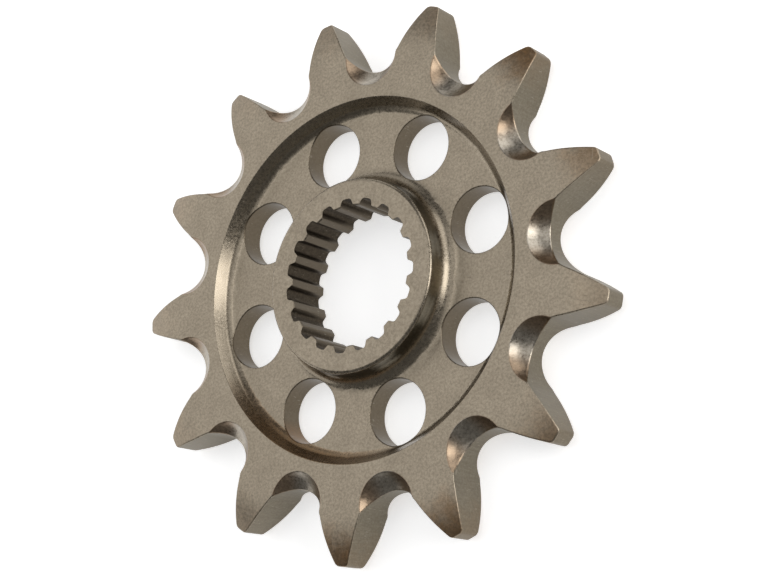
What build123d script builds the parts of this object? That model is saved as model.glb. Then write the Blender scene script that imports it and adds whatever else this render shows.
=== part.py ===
from build123d import *
import os
from math import acos, atan2, cos, hypot, pi, radians, sin, tan

# Front sprocket for a roller chain, one piece of steel, in millimetres.
# The bore axis is Z, and z = 0 is the middle plane of the tooth ring, where the chain runs.
# The hub boss points up, and the wheel lies on the back face of its tooth ring.
# One tooth, one lightening hole and one spline groove are centred on +X.

# Chain that the teeth fit
chain_pitch = 15.875
roller_diameter = 10.16
tooth_count = 13

# Teeth, in the plane of the wheel; the tips stand their height above the pitch circle
seat_clearance = 0.05
seat_angle = 121.2
flank_radius = 40.0
tip_height = 3.48
tip_round = 0.7

# Tooth ring, across its thickness
ring_thickness = 6.0
relief_width = 6.3
relief_depth = 1.27

# Scoops of the ball cutter at each root, on both faces; the ball's axis is offset from the root
scoop_diameter = 9.8
scoop_offset = 1.79
scoop_centre_height = 2.8

# Recess turned in the front face, with a wall that leans outwards, and the one in the back face
recess_diameter = 48.05
recess_depth = 2.02
recess_wall_angle = 33.0
recess_fillet = 1.7
back_recess_diameter = 48.0
back_recess_depth = 0.7

# Hub boss
hub_wall = 2.7
hub_height = 1.5
hub_edge_round = 0.5
hub_base_fillet = 2.1

# Splined bore
spline_count = 19
spline_crest_diameter = 18.4
spline_depth = 0.9
spline_groove_width = 2.08
spline_flank_angle = 22.5
spline_root_round = 0.5
spline_crest_round = 0.28
bore_chamfer = 0.12

# Lightening holes through the web
hole_count = 8
hole_diameter = 8.5
hole_circle_diameter = 36.95

# Derived sizes
pitch_radius = chain_pitch / 2 / sin(pi / tooth_count)
seat_radius = roller_diameter / 2 + seat_clearance
seat_bottom = pitch_radius - seat_radius
tip_radius = pitch_radius + tip_height
crest_radius = spline_crest_diameter / 2
root_radius = crest_radius + spline_depth
hub_radius = root_radius + hub_wall
tooth_step = 360.0 / tooth_count
hole_step = 360.0 / hole_count
spline_step = 360.0 / spline_count
front_face = ring_thickness / 2
back_face = -ring_thickness / 2
web_front = front_face - recess_depth
web_back = back_face + back_recess_depth
hub_top = front_face + hub_height


def polar(radius, angle):
    """Point at a radius and an angle in degrees."""
    return (radius * cos(radians(angle)), radius * sin(radians(angle)))


def mirrored(point):
    """The point mirrored in the X axis."""
    return (point[0], -point[1])


def tooth_gap():
    """Gap between two teeth, centred on +X, open past the tip circle, as a face.

    A roller seat about the pitch circle runs into a convex flank on either side. The
    seat and the flanks are tangent."""
    lean = radians(180.0 - seat_angle / 2)
    reach = seat_radius + flank_radius
    seat_end = (pitch_radius + seat_radius * cos(lean), seat_radius * sin(lean))
    flank_centre = (pitch_radius + reach * cos(lean), reach * sin(lean))
    distance = hypot(*flank_centre)
    bearing = atan2(flank_centre[1], flank_centre[0])
    mouth_radius = tip_radius + roller_diameter / 2
    swing = acos((mouth_radius**2 + distance**2 - flank_radius**2) / (2 * mouth_radius * distance))
    mouth = (mouth_radius * cos(bearing - swing), mouth_radius * sin(bearing - swing))
    seat = ThreePointArc(mirrored(seat_end), (seat_bottom, 0), seat_end)
    upper = RadiusArc(seat_end, mouth, -flank_radius)
    lower = RadiusArc(mirrored(mouth), mirrored(seat_end), -flank_radius)
    closing = Line(mouth, mirrored(mouth))
    return make_face(Wire([seat, upper, closing, lower]))


def tooth_outline():
    """Outline of the whole wheel, as a face: a disc less the gaps, with rounded tips."""
    gap = tooth_gap()
    gaps = [Rot(0, 0, (n + 0.5) * tooth_step) * gap for n in range(tooth_count)]
    outline = Circle(tip_radius) - gaps
    corners = [v for v in outline.vertices() if hypot(v.X, v.Y) > pitch_radius]
    # The rounds of a tip leave some of the land between them
    land = outline.edges().sort_by_distance((tip_radius, 0, 0))[0].length
    return fillet(corners, min(tip_round, 0.75 * land))


def rounded_corner(section, x, z, radius):
    """The section with its corner at x and z rounded."""
    corner = section.vertices().sort_by_distance((x, z, 0))[0]
    return fillet(corner, radius)


def turned_blank():
    """Blank as it leaves the lathe: ring with a relieved rim, web, recesses and hub."""
    start = tip_radius - relief_width
    recess = recess_diameter / 2
    recess_foot = recess - recess_depth * tan(radians(recess_wall_angle))
    back_recess = back_recess_diameter / 2
    faces = Polyline(
        (start, front_face),
        (recess, front_face),
        (recess_foot, web_front),
        (hub_radius, web_front),
        (hub_radius, hub_top),
        (0, hub_top),
        (0, web_back),
        (back_recess, web_back),
        (back_recess, back_face),
        (start, back_face),
    )
    back_relief = TangentArc((start, back_face), (tip_radius, back_face + relief_depth), tangent=(1, 0))
    rim = Line((tip_radius, back_face + relief_depth), (tip_radius, front_face - relief_depth))
    front_relief = TangentArc((start, front_face), (tip_radius, front_face - relief_depth), tangent=(1, 0))
    section = make_face(Wire([*faces.edges(), back_relief, rim, front_relief]))
    section = rounded_corner(section, recess_foot, web_front, recess_fillet)
    section = rounded_corner(section, hub_radius, web_front, hub_base_fillet)
    section = rounded_corner(section, hub_radius, hub_top, hub_edge_round)
    return revolve(Plane.XZ * section, Axis.Z)


def scoops():
    """Balls that cut the scoops, one over each root on either face."""
    balls = []
    for n in range(tooth_count):
        x, y = polar(seat_bottom + scoop_offset, (n + 0.5) * tooth_step)
        for height in (back_face - scoop_centre_height, front_face + scoop_centre_height):
            balls.append(Pos(x, y, height) * Sphere(scoop_diameter / 2))
    return balls


def lightening_holes():
    """Drills for the round holes in the web."""
    drills = []
    for n in range(hole_count):
        x, y = polar(hole_circle_diameter / 2, n * hole_step)
        drills.append(Pos(x, y, 0) * Cylinder(hole_diameter / 2, 2 * ring_thickness))
    return drills


def spline_outline():
    """Outline of the splined bore: straight-sided grooves with rounded roots and crests."""
    slope = tan(radians(spline_flank_angle))
    inner = crest_radius / 2
    outer = root_radius + spline_root_round
    half_inner = spline_groove_width / 2 + (crest_radius - inner) * slope
    half_outer = spline_groove_width / 2 - (outer - crest_radius) * slope
    sides = [(inner, -half_inner), (outer, -half_outer), (outer, half_outer), (inner, half_inner)]
    groove = make_face(Polyline(*sides, close=True))
    grooves = Sketch() + [Rot(0, 0, n * spline_step) * groove for n in range(spline_count)]
    opening = (grooves & Circle(root_radius)) + Circle(crest_radius)
    at_root = [v for v in opening.vertices() if hypot(v.X, v.Y) > crest_radius + spline_depth / 2]
    opening = fillet(at_root, spline_root_round)
    at_crest = [v for v in opening.vertices() if hypot(v.X, v.Y) < crest_radius + bore_chamfer / 2]
    return fillet(at_crest, spline_crest_round)


def bore_tools():
    """Broached bore and the chamfer at either end of it."""
    wide = crest_radius + bore_chamfer
    broach = Pos(0, 0, web_back) * extrude(spline_outline(), hub_top - web_back)
    front = Pos(0, 0, hub_top - bore_chamfer / 2) * Cone(crest_radius, wide, bore_chamfer)
    back = Pos(0, 0, web_back + bore_chamfer / 2) * Cone(wide, crest_radius, bore_chamfer)
    return [broach, front, back]


def sprocket():
    """The finished wheel."""
    teeth = Pos(0, 0, back_face) * extrude(tooth_outline(), hub_top - back_face)
    wheel = turned_blank() & teeth
    wheel = wheel - scoops()
    wheel = wheel - lightening_holes()
    return wheel - bore_tools()


os.makedirs("parts", exist_ok=True)
export_step(sprocket(), "parts/sprocket.step")
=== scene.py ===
import bmesh
import bpy
import numpy as np
from mathutils import Matrix, Vector

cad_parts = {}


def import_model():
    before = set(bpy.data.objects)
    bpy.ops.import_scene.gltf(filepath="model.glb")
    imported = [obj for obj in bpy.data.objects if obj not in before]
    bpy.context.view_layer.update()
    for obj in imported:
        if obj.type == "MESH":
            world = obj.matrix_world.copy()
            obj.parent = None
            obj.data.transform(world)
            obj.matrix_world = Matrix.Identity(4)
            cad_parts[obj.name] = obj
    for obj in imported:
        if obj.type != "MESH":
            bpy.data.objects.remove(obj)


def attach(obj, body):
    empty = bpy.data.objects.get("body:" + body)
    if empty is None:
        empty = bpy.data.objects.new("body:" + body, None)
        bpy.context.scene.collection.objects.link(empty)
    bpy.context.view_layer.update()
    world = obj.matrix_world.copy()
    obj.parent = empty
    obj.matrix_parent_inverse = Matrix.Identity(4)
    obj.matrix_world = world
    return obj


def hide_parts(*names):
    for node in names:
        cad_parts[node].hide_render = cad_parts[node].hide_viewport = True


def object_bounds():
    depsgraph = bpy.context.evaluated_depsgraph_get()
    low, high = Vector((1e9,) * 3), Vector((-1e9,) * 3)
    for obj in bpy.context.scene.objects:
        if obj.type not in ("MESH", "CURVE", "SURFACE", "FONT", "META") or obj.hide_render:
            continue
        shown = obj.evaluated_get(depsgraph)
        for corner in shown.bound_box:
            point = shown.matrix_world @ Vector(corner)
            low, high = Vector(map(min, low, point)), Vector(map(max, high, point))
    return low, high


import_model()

cad_low, cad_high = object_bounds()

# Lengths of the wheel are millimetres in its own frame: the bore axis is Z, and z = 0 is the
# middle plane of the tooth ring. The mesh is brought to metres when it is finished.
MM = 0.001
AXIS = (0, 0)

# Teeth
PITCH = 15.875
ROLLER = 10.16
TEETH = 13
SEAT_CLEARANCE = 0.05
SEAT_ANGLE = 121.2
FLANK_RADIUS = 40.0
TIP_HEIGHT = 3.48
TIP_ROUND = 0.7

# Tooth ring, across its thickness
RING_THICKNESS = 6.0
RELIEF_WIDTH = 6.3
RELIEF_DEPTH = 1.27

# Scoops of the ball cutter
SCOOP_RADIUS = 4.9
SCOOP_OFFSET = 1.79
SCOOP_CENTRE_HEIGHT = 2.8

# Recesses, web and hub
RECESS_RADIUS = 24.025
RECESS_DEPTH = 2.02
RECESS_WALL_ANGLE = 33.0
RECESS_FILLET = 1.7
BACK_RECESS_RADIUS = 24.0
BACK_RECESS_DEPTH = 0.7
HUB_RADIUS = 12.8
HUB_HEIGHT = 1.5
HUB_EDGE_ROUND = 0.5
HUB_BASE_FILLET = 2.1

# Splined bore
SPLINES = 19
CREST_RADIUS = 9.2
SPLINE_DEPTH = 0.9
GROOVE_WIDTH = 2.08
GROOVE_FLANK_ANGLE = 22.5
GROOVE_ROOT_ROUND = 0.5
CREST_ROUND = 0.28
BORE_CHAMFER = 0.12

# Lightening holes
HOLES = 8
HOLE_RADIUS = 4.25
HOLE_CIRCLE_RADIUS = 18.475

# Small rounds of the broken edges, and the blend of the scoops into the faces
TOOTH_EDGE = 0.16
HOLE_EDGE = 0.14
BORE_EDGE = 0.06
RECESS_EDGE = 0.15
SCOOP_BLEND = 0.14

# Sizes that follow
PITCH_RADIUS = PITCH / 2 / np.sin(np.pi / TEETH)
SEAT_RADIUS = ROLLER / 2 + SEAT_CLEARANCE
SEAT_BOTTOM = PITCH_RADIUS - SEAT_RADIUS
TIP_RADIUS = PITCH_RADIUS + TIP_HEIGHT
RING_FACE = RING_THICKNESS / 2
WEB_FRONT = RING_FACE - RECESS_DEPTH
WEB_BACK = -RING_FACE + BACK_RECESS_DEPTH
HUB_TOP = RING_FACE + HUB_HEIGHT
ROOT_RADIUS = CREST_RADIUS + SPLINE_DEPTH
WALL_LEAN = np.radians(RECESS_WALL_ANGLE)
WALL_TURN = np.pi / 2 - WALL_LEAN
RECESS_FOOT = RECESS_RADIUS - RECESS_DEPTH * np.tan(WALL_LEAN)
FILLET_START = RECESS_FOOT - RECESS_FILLET * np.tan(WALL_TURN / 2)
RELIEF_START = TIP_RADIUS - RELIEF_WIDTH
RELIEF_RADIUS = (RELIEF_WIDTH**2 + RELIEF_DEPTH**2) / (2 * RELIEF_DEPTH)
BALL_RADIUS_OUT = SEAT_BOTTOM + SCOOP_OFFSET
BALL_HEIGHT = RING_FACE + SCOOP_CENTRE_HEIGHT
SCOOP_RIM = np.sqrt(SCOOP_RADIUS**2 - SCOOP_CENTRE_HEIGHT**2)
HALF_TOOTH = np.pi / TEETH
HALF_SECTOR = np.pi / HOLES

# Circles in the flat parts where one way of meshing meets the next
RING_SEAM = 25.0
TOOTH_CORE = 35.5
WEB_INNER = 14.0
WEB_OUTER = 23.0

# Steps along the outer, inner and straight borders of a hole's sector, which the turned parts
# meet, and from the hole to them in front and at the back
OUTER_STEPS = 32
INNER_STEPS = 24
SIDE_STEPS = 16
FRONT_STEPS = 12
BACK_STEPS = 4

# Distances of the ring face's first rows from its edge, and how far up the recess's wall its rows
# lie, as shares
FIRST_ROWS = (0, 0.04, 0.09, 0.16)
WALL_ROWS = (0.15, 0.5, 0.85)

# Widths of the narrow strips beside a face's round, the back recess's corner and the chamfer
FACE_STRIP = 0.12
CORNER_STRIP = 0.1
CHAMFER_STRIP = 0.06

# Points that lie in the same cell of this size are one; the shift keeps round sizes off a border
CELL = 0.001
CELL_SHIFT = 0.237

# Camera at the photograph's viewing angle, with the range that it sees in metres
CAMERA_PLACE = Vector((110.845, -89.487, 177.333)) * MM
CAMERA_AHEAD = Vector((-0.48216, 0.38830, -0.78533)).normalized()
CAMERA_UP = Vector((0.40566, 0.89348, 0.19271)).normalized()
CAMERA_LENS = 82.38
SENSOR_WIDTH = 36.0
NEAR_LIMIT = 0.01
FAR_LIMIT = 10.0

# Surroundings and floor; the floor's half side is in metres, and its glow lifts it to white
WHITE = (1, 1, 1, 1)
WORLD_LEVEL = 0.15
FLOOR_GLOW = 0.58
FLOOR_PAINT = (0.9, 0.9, 0.9, 1)
FLOOR_ROUGHNESS = 0.9
FLOOR_HALF_SIDE = 4.0

# Soft lamps: name, azimuth and elevation in degrees, width and height in metres, and radiance
LAMP_DISTANCE = 0.7
LAMPS = (
    ("overhead", 142, 57, (0.60, 0.90), 0.93),
    ("backdrop", 158, 14, (0.90, 0.30), 1.15),
    ("side", -13, 22, (0.36, 0.40), 3.9),
    ("fill", 28, 18, (0.45, 0.40), 1.6),
    ("crown", 15, 70, (0.60, 0.56), 0.78),
    ("low", 100, 17, (0.58, 0.36), 0.60),
)

# Colours of the steel
FACE_LIGHT = (0.395, 0.338, 0.260, 1)
FACE_DARK = (0.340, 0.290, 0.222, 1)
# Upright walls: two tones that follow the tool's strokes, both darker than the faces, which is painted
# shade
SHADED_WALL_LIGHT = (0.265, 0.238, 0.182, 1)
SHADED_WALL_DARK = (0.165, 0.140, 0.100, 1)
# Painted shade on the walls of the web's holes
HOLE_WALL_SHADE = (0.135, 0.108, 0.074, 1)
# Painted shade in the bore, darker in the roots of its grooves than on its crests
BORE_CREST_SHADE = (0.150, 0.124, 0.092, 1)
BORE_ROOT_SHADE = (0.045, 0.034, 0.023, 1)
# Painted highlight: lighter colour in the scoops
SCOOP_HIGHLIGHT = (0.55, 0.505, 0.435, 1)
# Brown of the tint on the teeth and on the recess's slope, and painted shade at both ends of each scoop
BROWN_STAIN_AND_SHADE = (0.26, 0.138, 0.052, 1)
# Lighter steel of the scratches, and along the edges of the teeth partly wear and partly a painted
# highlight
WORN_AND_HIGHLIGHT = (0.46, 0.41, 0.33, 1)
SPECK = (0.10, 0.08, 0.055, 1)

# How much of its colour each of them lays over what is below, and how much of the tint walls
# are spared
HOLE_SHADE_SHARE = 0.85
SCOOP_HIGHLIGHT_SHARE = 0.65
SCOOP_END_SHADE_SHARE = 0.6
TINT_SHARE = 0.85
RECESS_TINT_SHARE = 0.7
EDGE_WEAR_AND_HIGHLIGHT_SHARE = 0.7
SPECK_SHARE = 0.5
SCRATCH_SHARE = 0.25
TINT_KEPT_OFF_WALLS = 0.75

# Roughness of a plain face, and what is added to it by the speckle, on cut walls, on edges, in
# scoops, on slopes and by the tint, in that order
ROUGHNESS = 0.33
ADDED_ROUGHNESS = (0.10, 0.06, -0.08, -0.06, -0.10, 0.05)

# Bumps: strength and height of the tool marks and of the grain, how deep a scratch cuts into the
# grain, and how much of the grain slopes and scoops lose
MARKS_BUMP = (0.35, 0.010)
GRAIN_BUMP = (0.8, 0.020)
SCRATCH_DEPTH = 0.5
GRAIN_LOST = 0.75

# Noises: cells to the millimetre, detail, and where given roughness and distortion
COARSE_GRAIN = (2.4, 2.0, 0.6)
FINE_GRAIN = (5.5, 2.0, 0.6)
SPECKLE = (3.0, 3.0, 0.7)
RINGS = (5.5, 3.0)
STROKES = (1.0, 3.0, 0.6)
CLOUDS = (0.35, 4.0, 0.6, 0.4)
SCRATCHES = (1.0, 1.0, 0.5)

# Shares of the two grains, how much height counts beside radius in the rings, and the stretch of
# the strokes
COARSE_SHARE = 0.7
FINE_SHARE = 0.3
HEIGHT_IN_RINGS = 0.6
STROKE_STRETCH = (5.0, 5.0, 0.35)

# Ways that the scratches run: a turn in radians, and the stretch after it
SCRATCH_WAYS = ((0.5, (0.35, 9.0, 1.0)), (1.9, (0.3, 8.0, 1.0)))

# Values of a noise from which to which its mask comes in
SPECKLE_RANGE = (0.3, 0.7)
CLOUD_RANGE = (0.25, 0.75)
SCRATCH_RANGE = (0.70, 0.76)

# Bearings where the teeth are tinted most, with the spread to either side, in degrees; the tint's
# strength elsewhere and what it gains there; and how far a cloud brings it inwards
STAIN_SIDES = ((25.0, 35.0), (268.0, 50.0))
STAIN_ELSEWHERE = 0.2
STAIN_GAIN = 0.8
CLOUD_REACH = 3.0

# Bearing at which the recess's slope is tinted most, with the spread to either side
SLOPE_STAIN = (228.0, 42.0)

# Radii from which to which a mask comes in
RING_WALLS_IN = (23.4, 23.8)
EDGES_IN = (24.5, 25.0)
BORE_IN = (ROOT_RADIUS + 0.3, ROOT_RADIUS + 0.1)
ROOTS_IN = (CREST_RADIUS + 0.1, CREST_RADIUS + 0.6)
TINT_IN = (32.0, 38.5)
RECESS_TINT_IN = (21.0, 23.0)

# Belts of radius that a mask is kept to, with the softness of their ends
HUB_BELT = (10.7, 13.4, 0.1)
HOLES_BELT = (13.9, 23.0, 0.1)
SLOPES_BELT = (12.2, 24.4, 0.05)

# Distances from which to which a mask comes in: from the scoop's ball centre, from the middle of
# its gap, and below the ring's face
BALL_IN = (SCOOP_RADIUS + 0.10, SCOOP_RADIUS + 0.04)
SCOOP_ENDS_IN = (0.6, 2.8)
EDGE_DEPTH_IN = (0.35, 0.1)

# How level a surface is from where to where a mask comes in: 1 is flat and 0 is upright
WALL_LEVEL = (0.5, 0.2)
HOLE_LEVEL = (0.9, 0.6)
BORE_LEVEL = (0.8, 0.4)
SLOPE_LEVEL = (0.985, 0.95)
SCOOP_LEVEL = (0.3, 0.5)
ROUND_LEVEL = (0.93, 0.75)
ABOVE_WALL_LEVEL = (0.05, 0.2)


# Helpers for grids of points

def on_circle(centre, radius, angles):
    """Points at a radius and angles about a centre: centre plus radius times (cosine, sine)."""
    return np.stack([centre[0] + radius * np.cos(angles), centre[1] + radius * np.sin(angles)], axis=-1)


def angle_of(vector):
    """Angle of a vector in the plane."""
    return np.arctan2(vector[..., 1], vector[..., 0])


def spaced(first, last, steps):
    """Values from a first to a last in equal steps."""
    return np.linspace(first, last, steps + 1)


def onwards(first, last, steps):
    """Values from a first to a last in equal steps, without the first."""
    return spaced(first, last, steps)[1:]


def with_height(plan, height):
    """Plan points with their heights, as points in space."""
    return np.concatenate([plan, np.broadcast_to(height, plan.shape[:-1])[..., None]], axis=-1)


def upright_wall(plan, heights):
    """A row of plan points repeated at each row of heights."""
    return with_height(np.broadcast_to(plan, heights.shape[:1] + plan.shape), heights)


def copies_around(points, count, first=0.0):
    """A sector's grid of points repeated about the Z axis, as an array of grids: each is turned by
    the first angle and by its number times a whole turn over the count."""
    turns = first + np.arange(count) * 2 * np.pi / count
    cos, sin = np.cos(turns)[:, None, None], np.sin(turns)[:, None, None]
    x, y, z = points[None, ..., 0], points[None, ..., 1], points[None, ..., 2]
    return np.stack([x * cos - y * sin, x * sin + y * cos, z + 0 * cos], axis=-1)


def sheets_around(points, count, first=0.0):
    """The sheets of a sector's grid repeated about the Z axis."""
    return [sheet(copy) for copy in copies_around(points, count, first)]


def loop_around(row, count, first=0.0):
    """A closed loop made of a sector's one row repeated, without the point that copies share."""
    return copies_around(row[:, :-1], count, first).reshape(-1, 3)


def sheet(points, closed=False):
    """A grid of points as triangles, two to a cell; closed joins the last column to the first."""
    rows, columns = points.shape[:2]
    index = np.arange(rows * columns).reshape(rows, columns)
    if closed:
        index = np.concatenate([index, index[:, :1]], axis=1)
    a, b, c, d = index[:-1, :-1], index[:-1, 1:], index[1:, 1:], index[1:, :-1]
    halves = [np.stack(corners, -1).reshape(-1, 3) for corners in ([a, b, c], [a, c, d])]
    return points.reshape(-1, 3), np.concatenate(halves)


def zipper(inner, outer):
    """A flat band between two closed loops about the Z axis with different numbers of points.

    Both loops' points are sorted by angle together; each step from one point to the next in
    either loop makes a triangle with the point last reached in the other loop."""
    inner = inner[np.argsort(angle_of(inner))]
    outer = outer[np.argsort(angle_of(outer))]
    count = len(inner)
    angles = np.concatenate([angle_of(inner), angle_of(outer)])
    order = np.argsort(angles, kind="stable")
    is_inner = order < count
    here_inner = (np.cumsum(is_inner) - 1) % count
    here_outer = (np.cumsum(~is_inner) - 1) % len(outer)
    before_inner = np.where(is_inner, (here_inner - 1) % count, here_inner)
    before_outer = np.where(is_inner, here_outer, (here_outer - 1) % len(outer))
    step_inner = np.stack([before_inner, here_inner, here_outer + count], axis=-1)
    step_outer = np.stack([here_inner, here_outer + count, before_outer + count], axis=-1)
    return np.concatenate([inner, outer]), np.where(is_inner[:, None], step_inner, step_outer)


def eased(steps):
    """Fractions from 0 to 1 that lie closer together at both ends: half of one minus a cosine."""
    return (1 - np.cos(spaced(0, np.pi, steps))) / 2


def quarter_round(size, steps=4):
    """Setback from the edge and drop below the face along a quarter round: size times one minus
    the sine, and size times one minus the cosine, of an angle from 0 to 90 degrees."""
    angle = spaced(0, np.pi / 2, steps)
    return size * (1 - np.sin(angle)), size * (1 - np.cos(angle))


def joined(patches):
    """All patches as one closed mesh: points that coincide become one, and triangles that lose a
    corner by this are dropped."""
    points = np.concatenate([p for p, _ in patches])
    starts = np.cumsum([0] + [len(p) for p, _ in patches[:-1]])
    triangles = np.concatenate([t + s for (_, t), s in zip(patches, starts)])
    cells = np.round(points / CELL + CELL_SHIFT).astype(np.int64)
    _, first, back = np.unique(cells, axis=0, return_index=True, return_inverse=True)
    triangles = back.reshape(-1)[triangles]
    a, b, c = triangles.T
    return points[first], triangles[(a != b) & (b != c) & (c != a)]


# Surfaces of the tooth ring

def soft_lower(one, other, blend):
    """The lower of two heights, with their crease rounded: the mean weighted by a share h that runs
    from 0 to 1 while they differ by less than the blend, less blend times h times one minus h."""
    share = np.clip(0.5 + 0.5 * (other - one) / blend, 0, 1)
    return other + (one - other) * share - blend * share * (1 - share)


def ring_height(plan):
    """Height of the ring's front over plan points near the gap on +X.

    It is the flat face, which falls away along a circular arc outside the relief's start, and
    where it is lower, the hollow left by the ball: the ball's centre height less the root of its
    radius squared less the distance from its axis squared."""
    out = np.hypot(plan[..., 0], plan[..., 1])
    past = np.maximum(out - RELIEF_START, 0)
    face = RING_FACE - RELIEF_RADIUS + np.sqrt(RELIEF_RADIUS**2 - past**2)
    away = np.hypot(plan[..., 0] - BALL_RADIUS_OUT, plan[..., 1])
    hollow = BALL_HEIGHT - np.sqrt(np.maximum(SCOOP_RADIUS**2 - away**2, 0))
    return soft_lower(face, hollow, SCOOP_BLEND)


def half_gap():
    """Points along the outline from the middle of the gap on +X to the middle of the tooth tip,
    with the outward direction at each, and the number of them that border the scoop.

    It is a chain of arcs: the roller seat about the pitch circle's point, the flank tangent to
    it, the small round tangent to flank and tip circle, and the tip circle."""
    seat_centre = np.array([PITCH_RADIUS, 0.0])
    lean = np.pi - np.radians(SEAT_ANGLE) / 2
    flank_centre = on_circle(seat_centre, SEAT_RADIUS + FLANK_RADIUS, np.array(lean))
    # The scoop's rim meets the broken edge's inner line at a point whose distances from the seat's
    # centre and from the ball's axis are known, as is the distance between those two
    seat_in = SEAT_RADIUS + TOOTH_EDGE
    apart = PITCH_RADIUS - BALL_RADIUS_OUT
    rim_end = np.arccos((seat_in**2 + apart**2 - SCOOP_RIM**2) / (2 * seat_in * apart))
    # The tip round's centre is at known distances from the axis and from the flank's centre
    far = np.hypot(*flank_centre)
    to_flank = FLANK_RADIUS - TIP_ROUND
    to_axis = TIP_RADIUS - TIP_ROUND
    swing = np.arccos((to_axis**2 + far**2 - to_flank**2) / (2 * to_axis * far))
    round_centre = on_circle(AXIS, to_axis, angle_of(flank_centre) - swing)
    round_start = angle_of(round_centre - flank_centre)
    round_end = angle_of(round_centre)

    scoop = np.pi - rim_end * spaced(0, 1, steps=16)
    seat = onwards(np.pi - rim_end, lean, steps=4)
    flank = onwards(lean - np.pi, round_start, steps=18)
    corner = onwards(round_start, round_end, steps=7)
    land = onwards(round_end, HALF_TOOTH, steps=3)
    arcs = [(seat_centre, SEAT_RADIUS, scoop, -1), (seat_centre, SEAT_RADIUS, seat, -1)]
    arcs += [(flank_centre, FLANK_RADIUS, flank, 1), (round_centre, TIP_ROUND, corner, 1)]
    arcs += [(AXIS, TIP_RADIUS, land, 1)]
    points = np.concatenate([on_circle(centre, radius, angles) for centre, radius, angles, _ in arcs])
    outward = np.concatenate([sign * on_circle(AXIS, 1, angles) for _, _, angles, sign in arcs])
    return points, outward, len(scoop)


def both_halves(plan):
    """A half sector's columns with their mirror image in the X axis set before them."""
    return np.concatenate([plan[..., :0:-1, :] * (1, -1), plan], axis=-2)


def tooth_ring():
    """Front face, scoops, broken edges and side walls of the teeth, and the back face, which is
    the front's mirror image in the plane of the wheel; with the loop where the face meets the
    turned parts."""
    outline, outward, rim_count = half_gap()
    inset = outline - TOOTH_EDGE * outward
    rim_turn = spaced(0, 1, rim_count - 1)
    rim_last = inset[rim_count - 1] - (BALL_RADIUS_OUT, 0)
    rim = on_circle((BALL_RADIUS_OUT, 0), SCOOP_RIM, np.pi - rim_turn * (np.pi - angle_of(rim_last)))

    # Ring face: straight columns from the scoop's rim to the seam circle, and from the flank to
    # the tooth's middle line
    along = np.concatenate([[0], np.cumsum(np.hypot(*np.diff(inset[rim_count - 1:], axis=0).T))])
    core_out = RING_SEAM + (TOOTH_CORE - RING_SEAM) * along / along[-1]
    seam = on_circle(AXIS, RING_SEAM, HALF_TOOTH * rim_turn)
    core = core_out[1:, None] * np.array([np.cos(HALF_TOOTH), np.sin(HALF_TOOTH)])
    start = both_halves(np.concatenate([rim, inset[rim_count:]]))
    end = both_halves(np.concatenate([seam, core]))
    length = np.hypot(*(end - start).T)
    near = np.array(FIRST_ROWS)[:, None] / length
    rest = near[-1] + (1 - near[-1]) * onwards(0, 1, steps=7)[:, None]
    share = np.concatenate([near, rest])[..., None]
    face = start + share * (end - start)

    # Scoop: columns from its rim to the seat, rows closer together at both ends
    hollow = both_halves(rim)
    seat = both_halves(inset[:rim_count])
    bowl = hollow + eased(steps=10)[:, None, None] * (seat - hollow)

    # Broken edge and wall, down to the middle plane
    setback, drop = quarter_round(TOOTH_EDGE)
    outline, outward = both_halves(outline), both_halves(outward)
    rounded = outline - setback[:, None, None] * outward
    rounded_height = ring_height(rounded) - drop[:, None]
    wall = upright_wall(outline, rounded_height[-1] * spaced(1, 0, steps=3)[:, None])

    face = with_height(face, ring_height(face))
    bowl = with_height(bowl, ring_height(bowl))
    rounded = with_height(rounded, rounded_height)
    patches = []
    for side in (1, -1):
        flip = np.array([1, 1, side])
        for surface in (face, bowl, rounded, wall):
            patches += sheets_around(surface * flip, TEETH, HALF_TOOTH)
    return patches, loop_around(with_height(both_halves(seam), RING_FACE)[None], TEETH, HALF_TOOTH)


# Surfaces of the turned parts and the web

def front_height(plan):
    """Height of the web's front: flat, rising into the hub's base fillet and the recess's fillet
    along circular arcs about their centres."""
    out = np.hypot(plan[..., 0], plan[..., 1])
    into_hub = np.clip(HUB_RADIUS + HUB_BASE_FILLET - out, 0, HUB_BASE_FILLET)
    into_wall = np.clip(out - FILLET_START, 0, RECESS_FILLET * np.sin(WALL_TURN))
    hub_rise = HUB_BASE_FILLET - np.sqrt(HUB_BASE_FILLET**2 - into_hub**2)
    wall_rise = RECESS_FILLET - np.sqrt(RECESS_FILLET**2 - into_wall**2)
    return WEB_FRONT + hub_rise + wall_rise


def back_height(plan):
    """Height of the web's back, which is flat."""
    return np.full(plan.shape[:-1], WEB_BACK)


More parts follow.
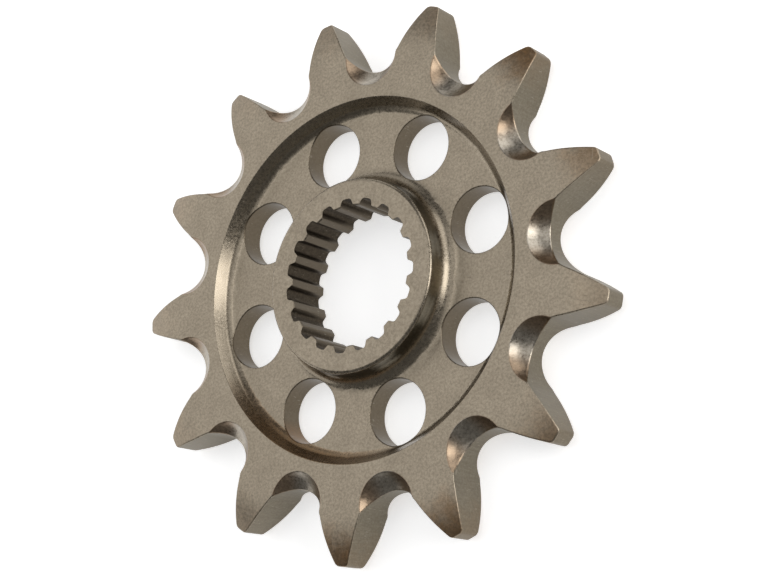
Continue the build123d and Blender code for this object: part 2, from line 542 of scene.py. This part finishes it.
def web():
    """Web with its holes: each sector's sheet runs in straight columns from a hole's edge to the
    sector's border, in front and at the back; then the holes' broken edges and walls."""
    outer = on_circle(AXIS, WEB_OUTER, spaced(-HALF_SECTOR, HALF_SECTOR, OUTER_STEPS))
    inner = on_circle(AXIS, WEB_INNER, spaced(HALF_SECTOR, -HALF_SECTOR, INNER_STEPS))
    down = spaced(0, 1, SIDE_STEPS)[1:-1, None]
    sides = [outer[-1] + down * (inner[0] - outer[-1]), inner[-1] + down * (outer[0] - inner[-1])]
    border = np.concatenate([outer, sides[0], inner, sides[1], outer[:1]])
    centre = np.array([HOLE_CIRCLE_RADIUS, 0.0])
    away = on_circle(AXIS, 1, angle_of(border - centre))
    start = centre + (HOLE_RADIUS + HOLE_EDGE) * away
    setback, drop = quarter_round(HOLE_EDGE)
    rounded = centre + (HOLE_RADIUS + setback[:, None, None]) * away
    patches = []
    ends = []
    for steps, height, side in ((FRONT_STEPS, front_height, 1), (BACK_STEPS, back_height, -1)):
        plan = start + eased(steps)[:, None, None] * (border - start)
        patches += sheets_around(with_height(plan, height(plan)), HOLES)
        edge_height = height(rounded) - side * drop[:, None]
        patches += sheets_around(with_height(rounded, edge_height), HOLES)
        ends.append(edge_height[-1])
    fall = spaced(0, 1, steps=4)[:, None]
    wall = upright_wall(rounded[-1], ends[0] + fall * (ends[1] - ends[0]))
    return patches + sheets_around(wall, HOLES)


def turned(profile, steps):
    """A profile of radius and height carried around the axis, in a number of steps to each hole's
    sector and from the border of one, so that its columns meet the web's."""
    profile = np.asarray(profile)
    count = steps * HOLES
    turn = np.arange(count) * 2 * np.pi / count - HALF_SECTOR
    plan = on_circle(AXIS, profile[:, :1], turn[None])
    return with_height(plan, profile[:, 1:])


def arc(centre, radius, first, last, steps):
    """Points of a profile along an arc about a centre, between two angles in degrees."""
    return on_circle(centre, radius, np.radians(spaced(first, last, steps)))


def hub():
    """Hub's outside: the base fillet from the web up to the upright wall, then the round of its
    upper edge, and a narrow ring of its flat top."""
    fillet_centre = (HUB_RADIUS + HUB_BASE_FILLET, WEB_FRONT + HUB_BASE_FILLET)
    lean = np.degrees(np.arcsin((fillet_centre[0] - WEB_INNER) / HUB_BASE_FILLET))
    base = arc(fillet_centre, HUB_BASE_FILLET, 270 - lean, 180, steps=12)
    round_centre = (HUB_RADIUS - HUB_EDGE_ROUND, HUB_TOP - HUB_EDGE_ROUND)
    crown = arc(round_centre, HUB_EDGE_ROUND, 0, 90, steps=8)
    strip = [(crown[-1, 0] - FACE_STRIP, HUB_TOP)]
    return turned(np.concatenate([base, crown, strip]), INNER_STEPS)


def recess():
    """Recess's wall: the fillet from the web up to the leaning wall, the small round tangent to
    that wall and to the ring's face, and a narrow ring of that face."""
    fillet_centre = (FILLET_START, WEB_FRONT + RECESS_FILLET)
    lean = np.degrees(np.arcsin((WEB_OUTER - FILLET_START) / RECESS_FILLET))
    base = arc(fillet_centre, RECESS_FILLET, 270 + lean, 360 - RECESS_WALL_ANGLE, steps=8)
    lip_centre = (RECESS_RADIUS + RECESS_EDGE * np.tan(WALL_TURN / 2), RING_FACE - RECESS_EDGE)
    lip = arc(lip_centre, RECESS_EDGE, 180 - RECESS_WALL_ANGLE, 90, steps=5)
    middle = base[-1:] + np.array(WALL_ROWS)[:, None] * (lip[:1] - base[-1:])
    strip = [(lip[-1, 0] + FACE_STRIP, RING_FACE)]
    return turned(np.concatenate([base, middle, lip, strip]), OUTER_STEPS)


def back_recess():
    """Shallow recess in the back: its floor outside the holes, its upright wall, and the broken
    edge of the ring's back face, with a narrow ring of that face."""
    lip_centre = (BACK_RECESS_RADIUS + TOOTH_EDGE, -RING_FACE + TOOTH_EDGE)
    lip = arc(lip_centre, TOOTH_EDGE, 180, 270, steps=4)
    corner = (BACK_RECESS_RADIUS, WEB_BACK)
    start = [(WEB_OUTER, WEB_BACK), (BACK_RECESS_RADIUS - CORNER_STRIP, WEB_BACK), corner]
    strip = [(lip[-1, 0] + FACE_STRIP, -RING_FACE)]
    return turned(np.concatenate([start, lip, strip]), OUTER_STEPS)


# Splined bore

def half_groove():
    """Plan points from the middle of the groove on +X to the middle of the crest beside it: the
    root circle, the round tangent to it and to the groove's side, the straight side, the round
    tangent to the side and to the crest circle, and that circle.

    The side's line has a unit normal and a distance from the axis, so a round's centre lies at
    that distance less or plus the round's radius along the normal, and on the root or the crest
    circle moved by the same radius."""
    slope = np.radians(GROOVE_FLANK_ANGLE)
    normal = np.array([np.sin(slope), np.cos(slope)])
    along = np.array([np.cos(slope), -np.sin(slope)])
    distance = np.array([CREST_RADIUS, GROOVE_WIDTH / 2]) @ normal
    low = distance - GROOVE_ROOT_ROUND
    low_centre = low * normal + np.sqrt((ROOT_RADIUS - GROOVE_ROOT_ROUND)**2 - low**2) * along
    high = distance + CREST_ROUND
    high_centre = high * normal + np.sqrt((CREST_RADIUS + CREST_ROUND)**2 - high**2) * along
    root = on_circle(AXIS, ROOT_RADIUS, spaced(0, angle_of(low_centre), steps=3))
    low_turn = onwards(angle_of(low_centre), np.pi / 2 - slope, steps=6)
    low_round = on_circle(low_centre, GROOVE_ROOT_ROUND, low_turn)
    high_turn = spaced(-np.pi / 2 - slope, angle_of(high_centre) - np.pi, steps=6)
    high_round = on_circle(high_centre, CREST_ROUND, high_turn)
    side = (low_round[-1:] + high_round[:1]) / 2
    crest = on_circle(AXIS, CREST_RADIUS, onwards(angle_of(high_centre), np.pi / SPLINES, steps=3))
    return np.concatenate([root, low_round, side, high_round, crest])


def bore():
    """Bore's wall with its chamfers: at each depth below an end the groove's outline is pushed
    outwards to the chamfer's cone where it lies inside it, and at the very end it opens by a small
    quarter round."""
    plan = both_halves(half_groove())
    radius = np.hypot(plan[..., 0], plan[..., 1])
    setback, drop = quarter_round(BORE_EDGE, steps=3)
    depth = np.concatenate([drop, [BORE_CHAMFER, BORE_CHAMFER + CHAMFER_STRIP]])
    opening = np.concatenate([setback, [0, 0]])
    cone = CREST_RADIUS + np.maximum(BORE_CHAMFER - depth, 0)
    height = np.concatenate([HUB_TOP - depth, WEB_BACK + depth[::-1]])
    cone = np.concatenate([cone, cone[::-1]])
    opening = np.concatenate([opening, opening[::-1]])
    reach = np.maximum(radius, cone[:, None]) + opening[:, None]
    return with_height(plan * (reach / radius)[..., None], height[:, None])


def wheel():
    """The whole wheel as one closed mesh, in metres."""
    patches, seam = tooth_ring()
    patches += web()
    hub_rows, recess_rows, back_rows, groove = hub(), recess(), back_recess(), bore()
    patches += [sheet(rows, closed=True) for rows in (hub_rows, recess_rows, back_rows)]
    patches += sheets_around(groove, SPLINES)
    web_edge = turned([(WEB_INNER, WEB_BACK)], INNER_STEPS)[0]
    patches.append(zipper(loop_around(groove[:1], SPLINES), hub_rows[-1]))
    patches.append(zipper(loop_around(groove[-1:], SPLINES), web_edge))
    patches.append(zipper(recess_rows[-1], seam))
    patches.append(zipper(back_rows[-1], seam * (1, 1, -1)))
    points, triangles = joined(patches)
    return points * MM, triangles


# Objects of the scene

def placed(name, data):
    """An object that holds the data, put into the scene."""
    made = bpy.data.objects.new(name, data)
    bpy.context.scene.collection.objects.link(made)
    return made


def mesh_object(name, points, triangles):
    """A mesh object from arrays of points and triangles, its faces turned outwards, and its
    normals weighted by area so that flat parts stay flat beside narrow rounds."""
    mesh = bpy.data.meshes.new(name)
    mesh.from_pydata(points, [], triangles)
    shape = bmesh.new()
    shape.from_mesh(mesh)
    bmesh.ops.recalc_face_normals(shape, faces=shape.faces)
    shape.to_mesh(mesh)
    shape.free()
    made = placed(name, mesh)
    mesh.shade_smooth()
    faces = np.empty(len(mesh.polygons) * 3, dtype=np.int32)
    mesh.loops.foreach_get("vertex_index", faces)
    faces = faces.reshape(-1, 3)
    corner = points[faces]
    area = np.cross(corner[:, 1] - corner[:, 0], corner[:, 2] - corner[:, 0])
    normal = np.zeros_like(points)
    for side in range(3):
        np.add.at(normal, faces[:, side], area)
    normal /= np.linalg.norm(normal, axis=1)[:, None]
    mesh.normals_split_custom_set_from_vertices(normal)
    return made


def camera():
    """The photograph's camera: it looks down on the wheel and is rolled about its line of sight."""
    data = bpy.data.cameras.new("camera")
    data.lens = CAMERA_LENS
    data.sensor_width = SENSOR_WIDTH
    data.clip_start = NEAR_LIMIT
    data.clip_end = FAR_LIMIT
    made = placed("camera", data)
    right = CAMERA_AHEAD.cross(CAMERA_UP).normalized()
    up = right.cross(CAMERA_AHEAD)
    turn = Matrix((right, up, -CAMERA_AHEAD)).transposed()
    made.matrix_world = Matrix.Translation(CAMERA_PLACE) @ turn.to_4x4()
    bpy.context.scene.camera = made


# Helpers for shader nodes

def node(tree, kind, **settings):
    """A new shader node with its settings."""
    made = tree.nodes.new("ShaderNode" + kind)
    for setting, value in settings.items():
        setattr(made, setting, value)
    return made


def feed(tree, source, socket):
    """Links a socket to another one, or sets it to a plain value."""
    if isinstance(source, bpy.types.NodeSocket):
        tree.links.new(source, socket)
    else:
        socket.default_value = source


def maths(tree, operation, *values):
    """The result of one sum on sockets or numbers."""
    made = node(tree, "Math", operation=operation)
    for value, socket in zip(values, made.inputs):
        feed(tree, value, socket)
    return made.outputs[0]


def times(tree, *values):
    """The product of several values."""
    result = values[0]
    for value in values[1:]:
        result = maths(tree, "MULTIPLY", result, value)
    return result


def opposite(tree, mask):
    """One less a mask."""
    return maths(tree, "SUBTRACT", 1.0, mask)


def held_back(tree, mask, share):
    """One less a share of a mask."""
    return maths(tree, "MULTIPLY_ADD", mask, -share, 1.0)


def step(tree, value, low, high):
    """A smooth step of a value, from 0 at low to 1 at high; low may be the larger."""
    made = node(tree, "MapRange", interpolation_type="SMOOTHSTEP")
    for socket, source in (("Value", value), ("From Min", low), ("From Max", high)):
        feed(tree, source, made.inputs[socket])
    return made.outputs["Result"]


def between(tree, value, low, high, soft):
    """One where a value lies between two limits, with soft ends."""
    above = step(tree, value, low - soft, low + soft)
    below = step(tree, value, high + soft, high - soft)
    return times(tree, above, below)


def noise(tree, vector, scale, detail, rough, distortion=0.0):
    """Noise about a half, at a number of cells to the millimetre."""
    made = node(tree, "TexNoise")
    feed(tree, vector, made.inputs["Vector"])
    made.inputs["Scale"].default_value = scale
    made.inputs["Detail"].default_value = detail
    made.inputs["Roughness"].default_value = rough
    made.inputs["Distortion"].default_value = distortion
    return made.outputs["Fac"]


def line_noise(tree, value, scale, detail):
    """Noise along one value, so that it draws lines where the value is constant."""
    made = node(tree, "TexNoise", noise_dimensions="1D")
    feed(tree, value, made.inputs["W"])
    made.inputs["Scale"].default_value = scale
    made.inputs["Detail"].default_value = detail
    return made.outputs["Fac"]


def mixed(tree, factor, one, other):
    """One colour turned into another by a factor. The node's sockets for numbers, vectors and
    colours share their names, so those for colours are found by their places."""
    made = node(tree, "Mix", data_type="RGBA")
    feed(tree, factor, made.inputs[0])
    feed(tree, one, made.inputs[6])
    feed(tree, other, made.inputs[7])
    return made.outputs[2]


def bumped(tree, height, strength, distance, normal=None):
    """The normal of a surface raised by a height, of so many millimetres where it is one; it may
    lie on a normal that is already bumped."""
    made = node(tree, "Bump")
    made.inputs["Strength"].default_value = strength
    made.inputs["Distance"].default_value = distance * MM
    feed(tree, height, made.inputs["Height"])
    if normal is not None:
        feed(tree, normal, made.inputs["Normal"])
    return made.outputs["Normal"]


def group(name, outputs, build):
    """A node group whose outputs are the values that its building function returns."""
    tree = bpy.data.node_groups.new(name, "ShaderNodeTree")
    for output in outputs:
        tree.interface.new_socket(name=output, in_out="OUTPUT", socket_type="NodeSocketFloat")
    end = tree.nodes.new("NodeGroupOutput")
    for output, value in zip(outputs, build(tree)):
        tree.links.new(value, end.inputs[output])
    return tree


def use(tree, shared):
    """The outputs of a shared group placed in a tree."""
    return node(tree, "Group", node_tree=shared).outputs


# Effects that the steel's finish is made of; each works on object coordinates in millimetres

def millimetres(tree):
    """Object coordinates in millimetres, as a vector and as its parts."""
    place = node(tree, "VectorMath", operation="SCALE")
    feed(tree, node(tree, "TexCoord").outputs["Object"], place.inputs[0])
    place.inputs["Scale"].default_value = 1 / MM
    parts = node(tree, "SeparateXYZ")
    feed(tree, place.outputs[0], parts.inputs[0])
    return place.outputs[0], parts.outputs


def stretched(tree, vector, factors):
    """A vector with each part multiplied by its own factor."""
    made = node(tree, "VectorMath", operation="MULTIPLY")
    feed(tree, vector, made.inputs[0])
    made.inputs[1].default_value = factors
    return made.outputs[0]


def radius_of(tree, parts):
    """Distance from the bore's axis: the root of x squared plus y squared."""
    x2 = maths(tree, "MULTIPLY", parts[0], parts[0])
    return maths(tree, "SQRT", maths(tree, "MULTIPLY_ADD", parts[1], parts[1], x2))


def levelness(tree):
    """How far a surface faces along the bore's axis: the size of its normal's height."""
    parts = node(tree, "SeparateXYZ")
    feed(tree, node(tree, "TexCoord").outputs["Normal"], parts.inputs[0])
    return maths(tree, "ABSOLUTE", parts.outputs[2])


def build_regions(tree):
    """Masks of the side walls, of the walls of the web's holes, of the splined bore and of its
    roots, of the scoops and of their two ends, of the narrow rounds along the edges of the teeth,
    and of the turned rounds and slopes.

    A scoop is where a point lies on its ball: the angle is folded into one tooth's share, and the
    distance from the ball's centre there is the ball's radius. An edge is where the surface has
    turned away from a face that lies just above it."""
    _, parts = millimetres(tree)
    radius = radius_of(tree, parts)
    level = levelness(tree)
    high = maths(tree, "ABSOLUTE", parts[2])
    ring_or_hub = maths(tree, "ADD", step(tree, radius, *RING_WALLS_IN), between(tree, radius, *HUB_BELT))
    walls = times(tree, step(tree, level, *WALL_LEVEL), ring_or_hub)
    holes = times(tree, step(tree, level, *HOLE_LEVEL), between(tree, radius, *HOLES_BELT))
    splines = times(tree, step(tree, radius, *BORE_IN), step(tree, level, *BORE_LEVEL))
    roots = step(tree, radius, *ROOTS_IN)
    slopes = times(tree, between(tree, radius, *SLOPES_BELT), step(tree, level, *SLOPE_LEVEL))

    angle = maths(tree, "ARCTAN2", parts[1], parts[0])
    folded = maths(tree, "PINGPONG", maths(tree, "ADD", angle, 2 * np.pi), HALF_TOOTH)
    from_gap = maths(tree, "SUBTRACT", HALF_TOOTH, folded)
    across = times(tree, radius, maths(tree, "SINE", from_gap))
    out = maths(tree, "SUBTRACT", times(tree, radius, maths(tree, "COSINE", from_gap)), BALL_RADIUS_OUT)
    down = maths(tree, "SUBTRACT", high, BALL_HEIGHT)
    flat2 = maths(tree, "MULTIPLY_ADD", out, out, maths(tree, "MULTIPLY", across, across))
    away = maths(tree, "SQRT", maths(tree, "MULTIPLY_ADD", down, down, flat2))
    scoops = times(tree, step(tree, away, *BALL_IN), step(tree, level, *SCOOP_LEVEL))
    ends = times(tree, scoops, step(tree, across, *SCOOP_ENDS_IN))

    past = maths(tree, "MAXIMUM", maths(tree, "SUBTRACT", radius, RELIEF_START), 0.0)
    fallen = maths(tree, "DIVIDE", maths(tree, "MULTIPLY", past, past), 2 * RELIEF_RADIUS)
    below = maths(tree, "SUBTRACT", maths(tree, "SUBTRACT", RING_FACE, fallen), high)
    near_face = step(tree, below, *EDGE_DEPTH_IN)
    rounded = times(tree, near_face, step(tree, level, *ROUND_LEVEL), step(tree, level, *ABOVE_WALL_LEVEL))
    edges = times(tree, rounded, step(tree, radius, *EDGES_IN), opposite(tree, scoops))
    return walls, holes, splines, roots, scoops, ends, edges, slopes


def build_grain(tree):
    """Blasted grain: its height, and a fine speckle of light and dark."""
    vector, _ = millimetres(tree)
    coarse = noise(tree, vector, *COARSE_GRAIN)
    fine = noise(tree, vector, *FINE_GRAIN)
    height = maths(tree, "MULTIPLY_ADD", coarse, COARSE_SHARE, times(tree, fine, FINE_SHARE))
    speckle = noise(tree, vector, *SPECKLE)
    return height, step(tree, speckle, *SPECKLE_RANGE)


def build_cutting(tree):
    """Lines that the tools left: rings about the bore's axis on turned surfaces, and strokes along
    that axis on side walls."""
    vector, parts = millimetres(tree)
    radius = radius_of(tree, parts)
    along = maths(tree, "MULTIPLY_ADD", parts[2], HEIGHT_IN_RINGS, radius)
    rings = line_noise(tree, along, *RINGS)
    strokes = noise(tree, stretched(tree, vector, STROKE_STRETCH), *STROKES)
    return rings, strokes


def toward(tree, angle, bearing, spread):
    """One at a bearing, falling smoothly to nothing at its spread to either side, in degrees."""
    facing = maths(tree, "COSINE", maths(tree, "SUBTRACT", angle, np.radians(bearing)))
    return step(tree, facing, np.cos(np.radians(spread)), 1.0)


def build_stain(tree):
    """Brown tint of the hardened teeth, which grows towards the tips, more strongly to two sides of
    the wheel, and breaks up into clouds; and the tint of the recess's slope, on one side."""
    vector, parts = millimetres(tree)
    radius = radius_of(tree, parts)
    angle = maths(tree, "ARCTAN2", parts[1], parts[0])
    strength = maths(tree, "MAXIMUM", *(toward(tree, angle, *side) for side in STAIN_SIDES))
    strength = maths(tree, "MULTIPLY_ADD", strength, STAIN_GAIN, STAIN_ELSEWHERE)
    clouds = step(tree, noise(tree, vector, *CLOUDS), *CLOUD_RANGE)
    tips = step(tree, maths(tree, "MULTIPLY_ADD", clouds, CLOUD_REACH, radius), *TINT_IN)
    recess_tint = times(tree, toward(tree, angle, *SLOPE_STAIN), step(tree, radius, *RECESS_TINT_IN))
    return times(tree, tips, strength), clouds, recess_tint


def build_scratches(tree):
    """A few short fine scratches that run two ways: noise stretched along a line, and only its
    highest crests."""
    vector, _ = millimetres(tree)
    found = []
    for turn, stretch in SCRATCH_WAYS:
        turned_way = node(tree, "VectorRotate", rotation_type="Z_AXIS")
        feed(tree, vector, turned_way.inputs["Vector"])
        turned_way.inputs["Angle"].default_value = turn
        value = noise(tree, stretched(tree, turned_way.outputs[0], stretch), *SCRATCHES)
        found.append(step(tree, value, *SCRATCH_RANGE))
    return (maths(tree, "MAXIMUM", *found),)


# Finish of the wheel

def steel():
    """Blasted steel, satin and a little brown, tinted towards the tips of the teeth. It is darker on
    walls, in the web's holes and in the bore, and brown at the ends of the scoops, all painted shade;
    the scoops are lighter, a painted highlight, and the edges bright, partly from wear and partly as a
    painted highlight."""
    names = ("Walls", "Holes", "Bore", "Roots", "Scoops", "Scoop ends", "Edges", "Slopes")
    regions = group("regions", names, build_regions)
    grain = group("grain", ("Height", "Speckle"), build_grain)
    cutting = group("cutting", ("Rings", "Strokes"), build_cutting)
    stain = group("stain", ("Tint", "Clouds", "Recess tint"), build_stain)
    scratches = group("scratches", ("Lines",), build_scratches)

    made = bpy.data.materials.new("steel")
    made.use_nodes = True
    tree = made.node_tree
    shader = tree.nodes["Principled BSDF"]
    walls, holes, splines, roots, scoops, ends, edges, slopes = use(tree, regions)
    height, speckle = use(tree, grain)
    rings, strokes = use(tree, cutting)
    tint, clouds, recess_tint = use(tree, stain)
    lines = use(tree, scratches)[0]

    # Colour, from the plain faces up to the finest marks
    cut = maths(tree, "MAXIMUM", maths(tree, "MAXIMUM", walls, holes), splines)
    colour = mixed(tree, clouds, FACE_DARK, FACE_LIGHT)
    # Painted shade: upright walls darker than the faces, streaked by the tool's strokes
    colour = mixed(tree, walls, colour, mixed(tree, strokes, SHADED_WALL_DARK, SHADED_WALL_LIGHT))
    # Painted shade on the walls of the web's holes
    colour = mixed(tree, times(tree, holes, HOLE_SHADE_SHARE), colour, HOLE_WALL_SHADE)
    # Painted shade in the bore, darker in the groove roots than on the crests
    colour = mixed(tree, splines, colour, mixed(tree, roots, BORE_CREST_SHADE, BORE_ROOT_SHADE))
    # Painted highlight: lighter colour in the scoops
    colour = mixed(tree, times(tree, scoops, SCOOP_HIGHLIGHT_SHARE), colour, SCOOP_HIGHLIGHT)
    # Painted shade: brown at both ends of each scoop
    colour = mixed(tree, times(tree, ends, SCOOP_END_SHADE_SHARE), colour, BROWN_STAIN_AND_SHADE)
    on_faces = held_back(tree, walls, TINT_KEPT_OFF_WALLS)
    colour = mixed(tree, times(tree, tint, on_faces, TINT_SHARE), colour, BROWN_STAIN_AND_SHADE)
    colour = mixed(tree, times(tree, recess_tint, slopes, RECESS_TINT_SHARE), colour, BROWN_STAIN_AND_SHADE)
    # Edges lighter where clouds fall: partly wear, partly a painted highlight
    colour = mixed(tree, times(tree, edges, clouds, EDGE_WEAR_AND_HIGHLIGHT_SHARE), colour, WORN_AND_HIGHLIGHT)
    colour = mixed(tree, times(tree, opposite(tree, speckle), SPECK_SHARE), colour, SPECK)
    feed(tree, mixed(tree, times(tree, lines, SCRATCH_SHARE), colour, WORN_AND_HIGHLIGHT), shader.inputs["Base Color"])

    rough = ROUGHNESS
    for mask, added in zip((speckle, cut, edges, scoops, slopes, tint), ADDED_ROUGHNESS):
        rough = maths(tree, "MULTIPLY_ADD", mask, added, rough)
    feed(tree, rough, shader.inputs["Roughness"])
    shader.inputs["Metallic"].default_value = 1.0

    # Tool marks, and over them the grain, which is calmer where a surface is smooth
    calm = held_back(tree, maths(tree, "MAXIMUM", slopes, scoops), GRAIN_LOST)
    relief = times(tree, maths(tree, "MULTIPLY_ADD", lines, -SCRATCH_DEPTH, height), calm)
    marks = bumped(tree, mixed(tree, cut, rings, strokes), *MARKS_BUMP)
    feed(tree, bumped(tree, relief, *GRAIN_BUMP, normal=marks), shader.inputs["Normal"])
    return made


# Floor, lamps and surroundings

def floor():
    """A plain white floor under the wheel, which shows as white and keeps a soft shadow."""
    size, z = FLOOR_HALF_SIDE, cad_low.z
    corners = [(-size, -size, z), (size, -size, z), (size, size, z), (-size, size, z)]
    mesh = bpy.data.meshes.new("floor")
    mesh.from_pydata(corners, [], [(0, 1, 2, 3)])
    made = placed("floor", mesh)
    paint = bpy.data.materials.new("floor")
    paint.use_nodes = True
    tree = paint.node_tree
    shader = tree.nodes["Principled BSDF"]
    shader.inputs["Base Color"].default_value = FLOOR_PAINT
    shader.inputs["Roughness"].default_value = FLOOR_ROUGHNESS
    shader.inputs["Emission Color"].default_value = WHITE
    rays = node(tree, "LightPath").outputs
    seen = maths(tree, "MAXIMUM", rays["Is Camera Ray"], rays["Is Glossy Ray"])
    seen = maths(tree, "MAXIMUM", seen, rays["Is Transmission Ray"])
    feed(tree, times(tree, seen, FLOOR_GLOW), shader.inputs["Emission Strength"])
    mesh.materials.append(paint)


def softbox(name, azimuth, elevation, size, radiance):
    """A soft lamp seen from the wheel at an azimuth and an elevation in degrees. Its power is its
    radiance times pi times its area."""
    data = bpy.data.lights.new(name, "AREA")
    data.shape = "RECTANGLE"
    data.size, data.size_y = size
    data.energy = radiance * np.pi * size[0] * size[1]
    made = placed(name, data)
    turn, rise = np.radians(azimuth), np.radians(elevation)
    away = Vector((np.cos(rise) * np.cos(turn), np.cos(rise) * np.sin(turn), np.sin(rise)))
    facing = away.to_track_quat("Z", "Y").to_matrix().to_4x4()
    made.matrix_world = Matrix.Translation(away * LAMP_DISTANCE) @ facing


def world():
    """Dim, even surroundings."""
    made = bpy.data.worlds.new("world")
    bpy.context.scene.world = made
    made.use_nodes = True
    background = made.node_tree.nodes["Background"]
    background.inputs["Color"].default_value = WHITE
    background.inputs["Strength"].default_value = WORLD_LEVEL


camera()
world()
floor()
points, triangles = wheel()
piece = mesh_object("wheel", points, triangles)
piece.data.materials.append(steel())
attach(piece, "root")
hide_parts("sprocket")
for lamp in LAMPS:
    softbox(*lamp)
bpy.context.scene.view_settings.view_transform = "Standard"
